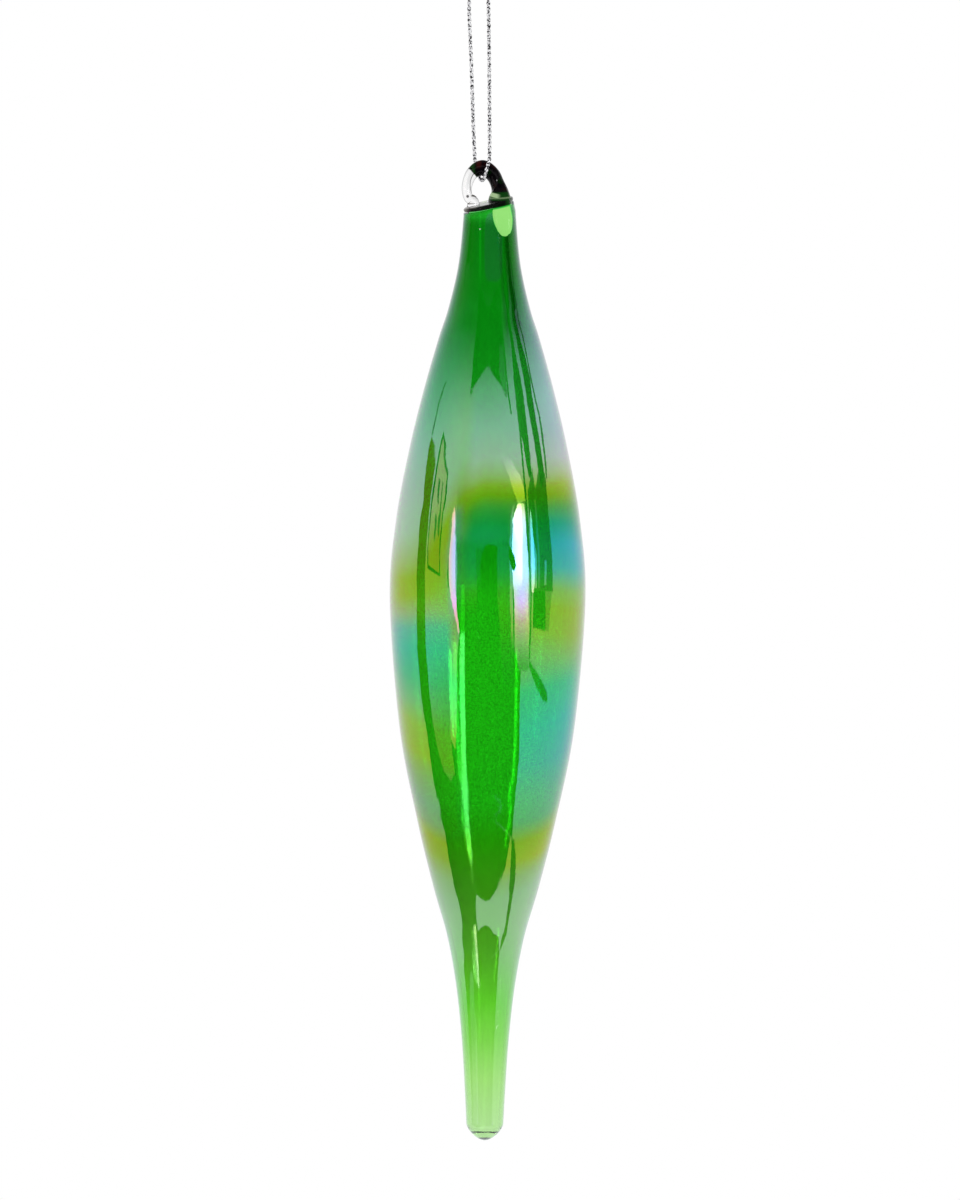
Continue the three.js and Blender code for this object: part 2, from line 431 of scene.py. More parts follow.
def silverThread():
    paint = Paint("silverThread")
    spot = paint.place() * (1 / mm)
    fibre = paint.noise(spot, 6.0, 2.0, 0.6)
    marks = paint.rise(paint.noise(spot, 2.1, 1.0), 0.5, 0.54)
    # white, dark where its noise marks lie and towards its edges, where the dark is painted shade; then grey
    # fibres
    base = paint.coated(ink(250, 250, 252), [
        (paint.most(marks, paint.rise(paint.facing(), 0.42, 0.62)), ink(34, 34, 38)),
        (0.6 * paint.rise(fibre, 0.55, 0.75), ink(150, 152, 158)),
    ])
    return paint.finish(paint.surface({
        "Base Color": base,
        "Metallic": 0.25,
        "Roughness": 0.25 + 0.2 * fibre,
        "Normal": paint.bumped(fibre, 0.3, 0.0001),
        # a painted glow: the thread shines a little with its own colour
        "Emission Color": base,
        "Emission Strength": 0.25,
    }))


threadFinish = silverThread()


def makeCord():
    line = evenSteps(smoothLine(cordRoute, 40), cord["step"])
    bm = bmesh.new()
    twistedCord(bm, line)
    nodes = ("cord_bight", "cord_strand_front", "cord_strand_back")
    piece = newPiece("cord", meshFrom(bm, "cord"), None, nodes)
    piece.data.materials.append(threadFinish)
    path = [p * mm for p in line[::cord["pathEvery"]]] + [line[-1] * mm]
    length = sum((b - a).length for a, b in zip(line, line[1:])) * mm
    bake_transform(piece)
    print(f"scene: cord of {length / mm:.0f} mm")
    return piece, path, length


cordPiece, cordPath, cordLength = makeCord()

# knot: the two ends side by side, bound by turns of the cord itself, and two short tails
knot = {"low": 0.6, "height": 3.4, "turns": 2.5, "wrapRadius": 1.15, "tail": 9.0, "wrapSteps": 90}


def makeKnot():
    bm = bmesh.new()
    low, high = knot["low"], knot["low"] + knot["height"]
    middle = (low + high) / 2
    for side in (-1, 1):
        tail = [
            (side * 0.62, -side * 0.15, low), (side * 0.5, -side * 0.1, low + 1.0),
            (side * 0.5, side * 0.1, high - 0.6), (side * 0.8, side * 0.3, high + 0.5),
            (side * 1.6, side * 0.8, middle + 0.6 * knot["tail"]),
            (side * 2.1, side * 0.9, middle + knot["tail"]),
        ]
        twistedCord(bm, evenSteps(smoothLine(tail, 30), cord["step"]))
    wrap = []
    radius = knot["wrapRadius"]
    for i in range(knot["wrapSteps"] + 1):
        share = i / knot["wrapSteps"]
        turn = 2 * math.pi * knot["turns"] * share + 0.6
        level = low + 0.62 + (knot["height"] - 1.2) * share
        wrap.append((radius * math.cos(turn), radius * math.sin(turn), level))
    # both ends of the wrap tuck in under it
    start, end = wrap[0], wrap[-1]
    wrap.insert(0, (0.35 * start[0], 0.35 * start[1], start[2] + 0.5))
    wrap.append((0.35 * end[0], 0.35 * end[1], end[2] - 0.4))
    twistedCord(bm, evenSteps(smoothLine(wrap, 4), cord["step"]))
    piece = newPiece("knot", meshFrom(bm, "knot"), "loop_top", ("cord_knot",))
    piece.data.materials.append(threadFinish)
    return piece


knotPiece = makeKnot()
print(f"scene: knot of {len(knotPiece.data.polygons)} faces")

# blown body: the part's outline, drawn finely, with its hollow; its slope eases off evenly down the shoulder
# and again down the skirt, as the edges of what it mirrors show in the photograph
drop = {
    "neckRadius": 6.8, "neckStraight": 4.3,
    "bellyRadius": 25.4, "bellyDown": 104,
    "stemRadius": 5.25, "stemDown": 231,
    "tipRadius": 4.8, "tipDown": 239.7, "tipHeight": 4.4,
    "wall": 1.4, "cavityFloor": 1.9, "cavityCorner": 1.3,
    "mouthDown": 8.8, "mouthRise": 13.0, "mouthLean": 9.5,
    "drawnIn": 0.12, "drawnEnd": 2.9, "drawnLength": 3.2,  # how the mouth's right side draws in
    "sealThickness": 1.1, "seam": 0.08,
    "sides": 160, "perSpan": 16,
}
upperShape = [(0.127, 0.067), (0.24, 0.202), (0.32, 0.339), (0.45, 0.536), (0.6, 0.73), (0.79, 0.917)]
lowerShape = [(0.26, 0.866), (0.445, 0.638), (0.585, 0.42), (0.685, 0.238), (0.785, 0.12), (0.895, 0.043)]


def glassFrame():
    # the drop leans until it hangs in balance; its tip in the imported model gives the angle
    node = next(o for o in bpy.data.objects if o.get("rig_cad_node") == "glass_body")
    tip = min((v.co for v in node.data.vertices), key=lambda co: co.z)
    leaning = math.atan2(tip.x, -tip.z - hang["rodDrop"] * mm)
    straight = math.atan2(hang["ringOffset"], hang["neckTopDown"] + drop["tipDown"] + drop["tipHeight"])
    lean = straight - leaning
    place = Matrix.Translation((0, 0, -hang["rodDrop"] * mm)) @ Matrix.Rotation(lean, 4, "Y")
    return lean, place @ Matrix.Diagonal((mm, mm, mm, 1))


glassLean, glassPlace = glassFrame()
print(f"scene: the glass leans {math.degrees(glassLean):.2f} degrees")


def outlineOf(inset):
    # points (radius, down) from the neck's top to the end of the stem
    neck, belly, stem = drop["neckRadius"], drop["bellyRadius"], drop["stemRadius"]
    straight, widest = drop["neckStraight"], drop["bellyDown"]
    swell, fall = widest - straight, drop["stemDown"] - widest
    marks = [
        (neck, 0), (neck, straight),
        *((neck + wide * (belly - neck), straight + share * swell) for share, wide in upperShape),
        (belly, widest),
        *((stem + wide * (belly - stem), widest + share * fall) for share, wide in lowerShape),
        (stem, drop["stemDown"]), (drop["tipRadius"], drop["tipDown"]),
    ]
    return smoothLine([(radius - inset, down) for radius, down in marks], drop["perSpan"], 0.0)


def radiusAt(line, down):
    # the radius of an outline at a depth
    for a, b in zip(line, line[1:]):
        if down <= b[1]:
            share = (down - a[1]) / max(b[1] - a[1], 1e-9)
            return a[0] + (b[0] - a[0]) * max(share, 0.0)
    return line[-1][0]


def mouthNormal():
    # square to the plane of the neck's oblique mouth
    lean = Matrix.Rotation(math.radians(drop["mouthLean"]), 3, "X")
    return lean @ (Matrix.Rotation(math.radians(-drop["mouthRise"]), 3, "Y") @ Vector((0, 0, 1)))


def mouthDownAt(radius, angle, sink):
    # depth below the neck's top of the oblique mouth's plane, and sink more, at a place round the neck's axis
    normal = mouthNormal()
    slope = (normal.x * math.sin(angle) - normal.y * math.cos(angle)) / normal.z
    return drop["mouthDown"] + sink - hang["neckTopDown"] + radius * slope


def turnedPoint(radius, down, angle):
    # the mouth draws in a little on the right, under the ring's thick leg
    drawn = min(1.0, max(0.0, (drop["drawnEnd"] - down) / drop["drawnLength"]))
    radius *= 1 - drop["drawnIn"] * max(0.0, math.sin(angle))**2 * drawn
    x = hang["ringOffset"] + radius * math.sin(angle)
    y = -radius * math.cos(angle)
    return glassPlace @ Vector((x, y, -hang["neckTopDown"] - down))


def makeBody():
    outer, inner = outlineOf(0.0), outlineOf(drop["wall"])
    angles = turnsOf(drop["sides"])
    neckEnd, nextRing = 10.0, 10.3  # below the first the rings are level
    steps = 8  # of the lip, and of the neck down to there
    lip = drop["wall"] / 2
    lipHeight = 0.35 * lip
    tipDown, tipHeight, tipSteps = drop["tipDown"], drop["tipHeight"], 12
    floor, corner, cornerSteps = tipDown + drop["cavityFloor"], drop["cavityCorner"], 6

    def lipTopAt(angle):
        return mouthDownAt(drop["neckRadius"], angle, drop["sealThickness"] + drop["seam"])

    def neckRun(outline, start):
        downs = [start + (neckEnd - start) * step / steps for step in range(1, steps + 1)]
        return [(radiusAt(outline, down), down) for down in downs]

    def outsideAt(angle):
        # one meridian from the mouth's inner edge, over the lip, down the outside to the tip
        top = lipTopAt(angle)
        run = []
        for step in range(steps + 1):
            turn = math.pi * step / steps
            radius = drop["neckRadius"] - lip - lip * math.cos(turn)
            run.append((radius, top + lipHeight * (1 - math.sin(turn))))
        run += neckRun(outer, top + lipHeight)
        run += [(r, d) for r, d in outer if d > nextRing]
        for step in range(1, tipSteps):
            share = step / tipSteps
            run.append((drop["tipRadius"] * (1 - share**1.5) ** 0.62, tipDown + tipHeight * share))
        return run

    def insideAt(angle):
        # one meridian from the mouth's inner edge down the hollow to its floor
        run = neckRun(inner, lipTopAt(angle) + lipHeight)
        run += [(r, d) for r, d in inner if nextRing < d < tipDown - 1.0]
        last = run[-1][0]
        for step in range(cornerSteps + 1):
            turn = 0.5 * math.pi * step / cornerSteps
            run.append((last - corner * (1 - math.cos(turn)), floor - corner + corner * math.sin(turn)))
        return run + [(0.5 * (last - corner), floor + 0.05)]

    def ringsOf(meridianAt):
        levels = zip(*(meridianAt(a) for a in angles))
        return [[turnedPoint(*place, a) for place, a in zip(level, angles)] for level in levels]

    bm = bmesh.new()
    outRings = skinRings(bm, ringsOf(outsideAt))
    end = capRing(bm, outRings[-1], turnedPoint(0, tipDown + tipHeight, 0))
    inRings = skinRings(bm, ringsOf(insideAt))
    capRing(bm, inRings[-1], turnedPoint(0, floor + 0.06, 0))
    for k in range(len(angles)):
        bm.faces.new((outRings[0][k - 1], outRings[0][k], inRings[0][k], inRings[0][k - 1]))
    # past the lip's crown, its fifth ring, it is the outside
    outerFaces = {face for ring in outRings[steps // 2 + 1:] for vert in ring for face in vert.link_faces}
    for face in bm.faces:
        face.material_index = 0 if face in outerFaces or end in face.verts else 1
    return newPiece("body", meshFrom(bm, "body"), "glass", ("glass_body",))


bodyOutline = outlineOf(0.0)
bodyPiece = makeBody()
print(f"scene: body of {len(bodyPiece.data.polygons)} faces")


# colours down the drop, in mm below the ring's top rod; each is light as shaders use it
glassTint = [
    (10, (0.02, 0.42, 0.03)), (11.8, (0.014, 0.38, 0.02)), (14.5, (0.002, 0.19, 0.004)),
    (34, (0.002, 0.22, 0.004)), (45, (0.003, 0.25, 0.006)), (60, (0.008, 0.36, 0.012)),
    (68, (0.012, 0.44, 0.014)), (76, (0.012, 0.44, 0.010)), (84, (0.006, 0.36, 0.003)),
    (91, (0.005, 0.44, 0.004)), (102, (0.007, 0.47, 0.005)), (112, (0.018, 0.72, 0.008)),
    (164, (0.020, 0.69, 0.009)), (174, (0.027, 0.47, 0.003)), (184, (0.06, 0.43, 0.009)),
    (193, (0.09, 0.46, 0.015)), (204, (0.106, 0.52, 0.025)), (216, (0.128, 0.66, 0.027)),
    (226, (0.22, 0.72, 0.08)), (236, (0.37, 0.80, 0.19)), (248, (0.46, 0.82, 0.31)),
]
rightLustre = [
    (20, (0.16, 0.24, 0.30)), (34, (0.26, 0.40, 0.56)), (45, (0.42, 0.56, 0.80)),
    (58, (0.56, 0.72, 0.96)), (68, (0.66, 0.66, 0.98)), (75, (0.84, 0.70, 0.94)),
    (79, (0.76, 0.70, 0.50)), (82, (0.62, 0.62, 0.06)), (85, (0.42, 0.52, 0.01)),
    (88, (0.16, 0.42, 0.14)), (92, (0.02, 0.40, 0.42)), (98, (0.05, 0.48, 0.90)),
    (104, (0.12, 0.52, 0.80)), (109, (0.46, 0.50, 0.20)), (114, (0.56, 0.46, 0.06)),
    (121, (0.54, 0.46, 0.10)), (127, (0.40, 0.48, 0.28)), (134, (0.12, 0.50, 0.50)),
    (143, (0.10, 0.46, 0.72)), (153, (0.16, 0.40, 0.72)), (161, (0.24, 0.43, 0.52)),
    (168, (0.26, 0.44, 0.40)), (173, (0.54, 0.54, 0.06)), (178, (0.66, 0.62, 0.08)),
    (182, (0.58, 0.66, 0.40)), (187, (0.60, 0.74, 0.62)), (205, (0.66, 0.80, 0.70)),
    (240, (0.80, 0.90, 0.82)),
]
leftLustre = [
    (30, (0.10, 0.26, 0.26)), (45, (0.13, 0.40, 0.40)), (58, (0.22, 0.54, 0.50)),
    (73, (0.44, 0.63, 0.68)), (86, (0.63, 0.71, 0.74)), (95, (0.66, 0.72, 0.68)),
    (102.5, (0.62, 0.60, 0.26)), (106, (0.56, 0.50, 0.03)), (111, (0.58, 0.44, 0.05)),
    (115, (0.56, 0.42, 0.36)), (119, (0.22, 0.42, 0.62)), (124, (0.10, 0.44, 0.60)),
    (131, (0.14, 0.44, 0.44)), (138, (0.34, 0.46, 0.34)), (144, (0.52, 0.46, 0.10)),
    (152, (0.54, 0.44, 0.05)), (158, (0.42, 0.38, 0.24)), (165, (0.36, 0.34, 0.38)),
    (169, (0.40, 0.38, 0.30)), (173, (0.54, 0.48, 0.04)), (178, (0.52, 0.52, 0.08)),
    (184, (0.52, 0.62, 0.42)), (190, (0.54, 0.68, 0.56)), (205, (0.60, 0.78, 0.66)),
    (240, (0.80, 0.90, 0.82)),
]
# where the two bright windows are mirrored the film is lavender, then peach
windowLustre = [
    (84, (0.62, 0.56, 0.10)), (89, (0.60, 0.50, 0.50)), (92, (0.56, 0.55, 0.95)),
    (97, (0.36, 0.45, 0.98)), (104, (0.40, 0.46, 0.98)), (108.5, (0.46, 0.36, 0.86)),
    (112, (0.60, 0.21, 0.90)), (115, (0.60, 0.18, 0.56)), (118, (0.54, 0.13, 0.30)),
    (123, (0.48, 0.28, 0.30)), (130, (0.34, 0.30, 0.32)), (138, (0.20, 0.44, 0.44)),
]
look = {
    "fullDown": 255.0,  # the colour tables' whole length in mm
    "bend": 1.45,
    "shine": (0.02, 0.06, 0.03),
    "gloss": 0.03,
    "wander": 6,  # mm that the lustre's bands wander up and down
    "arch": 9,  # mm that they rise towards the drop's edges, low down
    "climb": 24,  # mm that they climb on the left shoulder, from its edge to the middle
    "sag": 3,  # mm that the right shoulder's bands sink where they cross the middle
    "lustre": 0.29,  # how much of it shows where the eye meets the glass squarely
    "edgeLustre": 0.36,  # how much more at the edges
    "neckLustre": 0.55,  # and at the neck's edges, where there is none in the middle
    "farLustre": 0.14,  # on the far wall
}


def lustreGlass():
    paint = Paint("lustreGlass")
    spot = paint.glassSpot()
    x, y, z = paint.parts(spot)
    down = 0 - z
    across = x - hang["ringOffset"]
    sideways = across / paint.maths("SQRT", across * across + y * y)
    facing = paint.facing()

    # glass: green, darker where the eye looks along the wall, with fine grain and drawn-out reams; on the
    # neck's front painted reflections: a pale patch, a bright gleam on its left and dark strips of painted
    # shade on its right
    front = 1 - paint.rise(y, -2, 0)
    stem = paint.rise(down, 178, 205)
    grain = paint.rise(paint.noise(spot, 2.6, 1.0), 0.3, 0.7) - 0.5
    grain = grain * paint.span(down, 96, 116, 168, 185)
    ream = paint.noise(spot, 0.8, 3.0, 0.6, (1, 1, 0.02))
    tint = paint.ramp(down, glassTint)
    # a painted reflection: the pale patch on the neck's front
    u, v = (across - 1.0) / 2.35, (down - 21) / 9
    patchReflection = (1 - paint.rise(u * u * u * u + v * v * v * v, 0.7, 1.15)) * front
    tint = paint.between(patchReflection, tint, tint * (7.0, 0.66, 14.0))
    # a painted highlight, the gleam, and dark strips of painted shade
    gleam = paint.bump(across, -2.45, 0.5) * paint.bump(down, 21, 13) * front
    shade = paint.most(paint.bump(sideways, 0.61, 0.22), 0.55 * paint.bump(sideways, 0.38, 0.09))
    shade = shade * paint.span(down, 14, 19, 40, 52) * front
    tint = tint * (1 + 0.9 * gleam) * (1 - 0.9 * shade) * (1 - (0.5 - 0.28 * stem) * facing)
    tint = tint * (1 + 0.55 * grain) * (0.84 + 0.32 * ream)

    # lustre: thin-film bands, which lie lower on the left shoulder and arch up towards the edges
    wave = paint.noise(spot, 0.035, 2.0)
    arch = look["arch"] * (facing - 0.35) * paint.rise(down, 112, 150)
    level = down + look["wander"] * (wave - 0.5) + arch
    early = 1 - paint.rise(down, 96, 116)
    climb = look["climb"] * paint.rise(sideways, -0.85, -0.1) * early
    sag = look["sag"] * (1 - paint.rise(sideways, -0.35, 0)) * early
    right = paint.ramp(level - sag, rightLustre)
    left = paint.ramp(level + climb, leftLustre)
    # the two sides meet sharply in front, where a window's edge hides it, and softly at the back
    nearMix, farMix = paint.rise(sideways, -0.32, -0.14), paint.rise(sideways, -0.9, 0.75)
    pearl = paint.between(nearMix + (farMix - nearMix) * paint.rise(y, -2, 4), left, right)
    window = paint.most(paint.bump(sideways, 0.34, 0.16), paint.bump(sideways, -0.33, 0.1))
    window = window * paint.span(down, 86, 90, 128, 136)
    rimColor = paint.between(stem, (0.52, 0.55, 0.55), (0.42, 0.80, 0.70))
    seed = 1 - paint.rise(paint.away(spot, (-0.35, -6.4, -16.3)), 0.22, 0.42)
    pearl = paint.coated(pearl, [
        (window, paint.ramp(level, windowLustre)),
        (0.6 * paint.rise(facing, 0.5, 0.95), rimColor),
        (seed, white),
    ])
    lustre = paint.surface({
        "Base Color": pearl, "Metallic": 1.0, "Roughness": look["gloss"],
        "Normal": paint.bumped(ream, 0.2, 0.00003),
    })

    # how much of the lustre shows over the glass: more down the drop, and at its edges
    strength = paint.rise(down + 10 * paint.rise(sideways, 0.3, 0.8), 30, 76)
    strength = strength * (1 - 0.7 * paint.rise(down, 192, 225))
    amount = strength * (look["lustre"] + look["edgeLustre"] * facing)
    amount = amount + (1 - strength) * look["neckLustre"] * paint.rise(facing, 0.35, 0.95)
    amount = paint.most(amount * (1 - 0.3 * paint.rise(down, 195, 240)), seed)
    return paint.finish(paint.mixed(amount, paint.glass(tint, look["bend"], look["shine"]), lustre))


def innerGlass():
    # clear, and only the far wall mirrors, seen from the front, and less towards its sides
    paint = Paint("innerGlass")
    clear = paint.glass(white, look["bend"], look["shine"])
    sheen = paint.surface({"Base Color": (0.9, 0.95, 0.9), "Metallic": 1.0, "Roughness": look["gloss"]})
    x, y, z = paint.parts(paint.glassSpot())
    down = 0 - z
    aside = paint.rise(paint.maths("ABSOLUTE", x - hang["ringOffset"]), 9.5, 13.5)
    amount = look["farLustre"] * paint.rise(down, 60, 100) * (1 - 0.8 * paint.rise(down, 186, 200))
    return paint.finish(paint.mixed(amount * paint.rise(y, 0, 2) * (1 - aside), clear, sheen))


bodyPiece.data.materials.append(lustreGlass())
bodyPiece.data.materials.append(innerGlass())

# seal: the plug of glass in the neck's mouth, with a fire-polished rim
seal = {
    "plugLength": 3.2, "clearance": 0.3, "plugCorner": 0.7,
    "rimRadius": 0.5, "rimRoll": 1.0, "rimSteps": 5,
    "plugSteps": 3, "cornerSteps": 4, "sides": 96,
}


def sealGlass():
    # dark fire-polished rim, a top face of grey, pale green patches that are painted reflections, a dark
    # green patch, and a clear plug below
    paint = Paint("sealGlass")
    spot = paint.glassSpot()
    x, y, z = paint.parts(spot)
    height = paint.mouthHeight(x, y, z)
    waves = paint.noise(spot, 0.5, 2.0, 0.5, (1, 2.2, 1)) - 0.5
    back = y + 9 * waves
    along = x + 5 * waves
    rim = paint.rise(height, -0.3, -0.12) * paint.rise(back, -5.4, -4.4)
    base = paint.coated(ink(116, 112, 104), [
        (paint.rise(along, -1.2, 0.4), ink(22, 74, 20)),
        # the two pale patches are painted reflections
        (paint.rise(back, 1.2, 1.6) * paint.span(along, -0.4, 0.2, 3.6, 4.4), ink(196, 222, 168)),
        (paint.bump(back, -3.4, 0.9) * paint.span(along, -0.5, 0.4, 3.4, 4.2), ink(176, 196, 166)),
        (1 - rim, ink(9, 16, 9)),
        (1 - paint.rise(x, -4.4, -3.2), ink(104, 98, 90)),
        (paint.rise(x, 6.4, 7.6), ink(58, 70, 60)),
    ])
    solid = paint.surface({
        "Base Color": base, "Roughness": 0.06 + 0.1 * paint.rise(waves, 0, 0.3),
        "IOR": 1.5, "Specular IOR Level": 0.15,
    })
    return paint.finish(paint.mixed(paint.rise(height, -1.35, -1.2), paint.glass(white, 1.02), solid))


def makeSeal():
    neck, thick = drop["neckRadius"], drop["sealThickness"]
    rim, roll, corner = seal["rimRadius"], seal["rimRoll"], seal["plugCorner"]
    bore = neck - drop["wall"] - seal["clearance"]
    floor = drop["mouthDown"] - hang["neckTopDown"] + thick + seal["plugLength"]
    angles = turnsOf(seal["sides"])

    # from the middle of the top face out, round the rim and in under it, as (radius, depth below the mouth)
    turns = [0.5 * math.pi * step / seal["rimSteps"] for step in range(seal["rimSteps"] + 1)]
    plan = [(0.35 * neck, 0.0), (0.7 * neck, 0.0)]
    plan += [(neck - roll * (1 - math.sin(turn)), rim * (1 - math.cos(turn))) for turn in turns]
    plan += [(neck - rim * (1 - math.cos(turn)), thick - rim * (1 - math.sin(turn))) for turn in turns[1:]]
    rings = [[turnedPoint(radius, mouthDownAt(radius, a, sink), a) for a in angles] for radius, sink in plan]

    # down the plug and round its lower edge
    for step in range(seal["plugSteps"] + 1):
        share = step / seal["plugSteps"]
        points = []
        for angle in angles:
            top = mouthDownAt(bore, angle, thick)
            points.append(turnedPoint(bore, top + (floor - corner - top) * share, angle))
        rings.append(points)
    for step in range(1, seal["cornerSteps"] + 1):
        turn = 0.5 * math.pi * step / seal["cornerSteps"]
        place = (bore - corner * (1 - math.cos(turn)), floor - corner + corner * math.sin(turn))
        rings.append([turnedPoint(*place, a) for a in angles])

    bm = bmesh.new()
    made = skinRings(bm, rings)
    capRing(bm, made[0], turnedPoint(0, mouthDownAt(0, 0, 0), 0))
    capRing(bm, made[-1], turnedPoint(0, floor, 0))
    piece = newPiece("seal", meshFrom(bm, "seal"), "glass", ("neck_seal",))
    piece.data.materials.append(sealGlass())
    return piece


sealPiece = makeSeal()
print(f"scene: seal of {len(sealPiece.data.polygons)} faces")

# ring: a rod of glass from its foot on the neck's front, over the top and down again
ring = {
    "rodRadius": 2.05, "holeWidth": 4.6, "holeHeight": 6.6, "thinLeg": 2.65, "thickLeg": 4.75,
    "footWidth": 5.4, "footDown": 18.6, "footProud": 0.9, "sides": 40, "perSpan": 14,
    "gap": 0.08, "neckLow": 26, "neckSides": 96, "neckSteps": 23,  # of the neck that it is cut to
}


def ringStations():
    # places along the rod, each (x, y, z, its width, its depth)
    middle = -ring["rodRadius"] - ring["holeHeight"] / 2
    right = (ring["holeWidth"] + ring["thickLeg"]) / 2
    left = (ring["holeWidth"] + ring["thinLeg"]) / 2
    rod = 2 * ring["rodRadius"]
    foot = ring["footWidth"]
    footX = hang["ringOffset"] + 0.48 * drop["neckRadius"]
    footY = -0.88 * (drop["neckRadius"] + 0.3) - ring["footProud"] / 2
    low, rim = -ring["footDown"], -drop["mouthDown"]
    return [
        (footX + 1.0, footY - 0.3, low + 0.5, 0.12 * foot, 0.5),
        (footX + 0.88, footY - 0.25, low + 0.9, 0.42 * foot, 1.0),
        (footX + 0.65, footY - 0.15, low + 2.1, 0.7 * foot, 1.8),
        (footX + 0.2, footY, low + 4.6, 0.93 * foot, 2.4),
        (footX - 0.35, footY + 0.9, rim - 2.3, 0.98 * foot, 3.2),
        (right - 0.05, -2.6, rim + 0.1, 1.28 * ring["thickLeg"], 4.6),
        (right - 0.1, -0.6, middle - 0.8, 0.94 * ring["thickLeg"], 4.5),
        (right - 0.8, 0, middle + 1.4, 0.78 * ring["thickLeg"], 4.3),
        (0.55 * right, 0, -0.24 * ring["holeHeight"], 0.95 * rod, 4.1),
        (0, 0, 0, rod, rod),
        (-0.72 * left, 0, -0.22 * ring["holeHeight"], 0.8 * rod, 3.6),
        (-1.1 * left, 0, middle + 0.3, ring["thinLeg"], 3),
        (-0.97 * left, 0, middle - 2.4, 0.95 * ring["thinLeg"], 2.8),
        (-0.68 * left, 0, rim + 0.2, 1.15 * ring["thinLeg"], 3.2),
        (-0.6 * left, 0, rim - 3, 1.4 * ring["thinLeg"], 3.4),
    ]


def neckRodMesh(grow):
    # the neck as a full rod, a little wider than the body, up to just over the mouth's plane
    outer = outlineOf(-grow)
    rings = []
    for step in range(ring["neckSteps"] + 1):
        points = []
        for angle in turnsOf(ring["neckSides"]):
            top = mouthDownAt(drop["neckRadius"], angle, -grow)
            down = top + (ring["neckLow"] - top) * step / ring["neckSteps"]
            points.append(turnedPoint(radiusAt(outer, down), down, angle))
        rings.append(points)
    bm = bmesh.new()
    skinRings(bm, rings, True, True)
    return meshFrom(bm, "neckRod")


def cutMesh(mesh, cutterMesh):
    # what of a mesh lies outside another
    whole, cutter = newPiece("whole", mesh), newPiece("cutter", cutterMesh)
    cut = whole.modifiers.new("cut", "BOOLEAN")
    cut.operation = "DIFFERENCE"
    cut.solver = "EXACT"
    cut.object = cutter
    left = bpy.data.meshes.new_from_object(whole.evaluated_get(bpy.context.evaluated_depsgraph_get()))
    bpy.data.objects.remove(whole)
    bpy.data.objects.remove(cutter)
    return left


def makeRing():
    marks = ringStations()
    centres = smoothLine([m[:3] for m in marks], ring["perSpan"])
    girths = smoothLine([(m[3], m[4], 0) for m in marks], ring["perSpan"], 0.0)
    rings = []
    for i, centre in enumerate(centres):
        along = headingAt(centres, i)
        across = Vector((0, 1, 0)).cross(along).normalized()
        wide, deep = girths[i].x / 2, girths[i].y / 2
        points = ovalRing(centre, across, along.cross(across), wide, deep, ring["sides"])
        rings.append([glassPlace @ point for point in points])
    bm = bmesh.new()
    skinRings(bm, rings, True, True)
    mesh = cutMesh(meshFrom(bm, "ring"), neckRodMesh(ring["gap"]))
    piece = newPiece("ring", mesh, "glass", ("hanging_ring",))
    mesh.set_sharp_from_angle(angle=math.radians(40))
    piece.data.materials.append(ringGlass())
    return piece


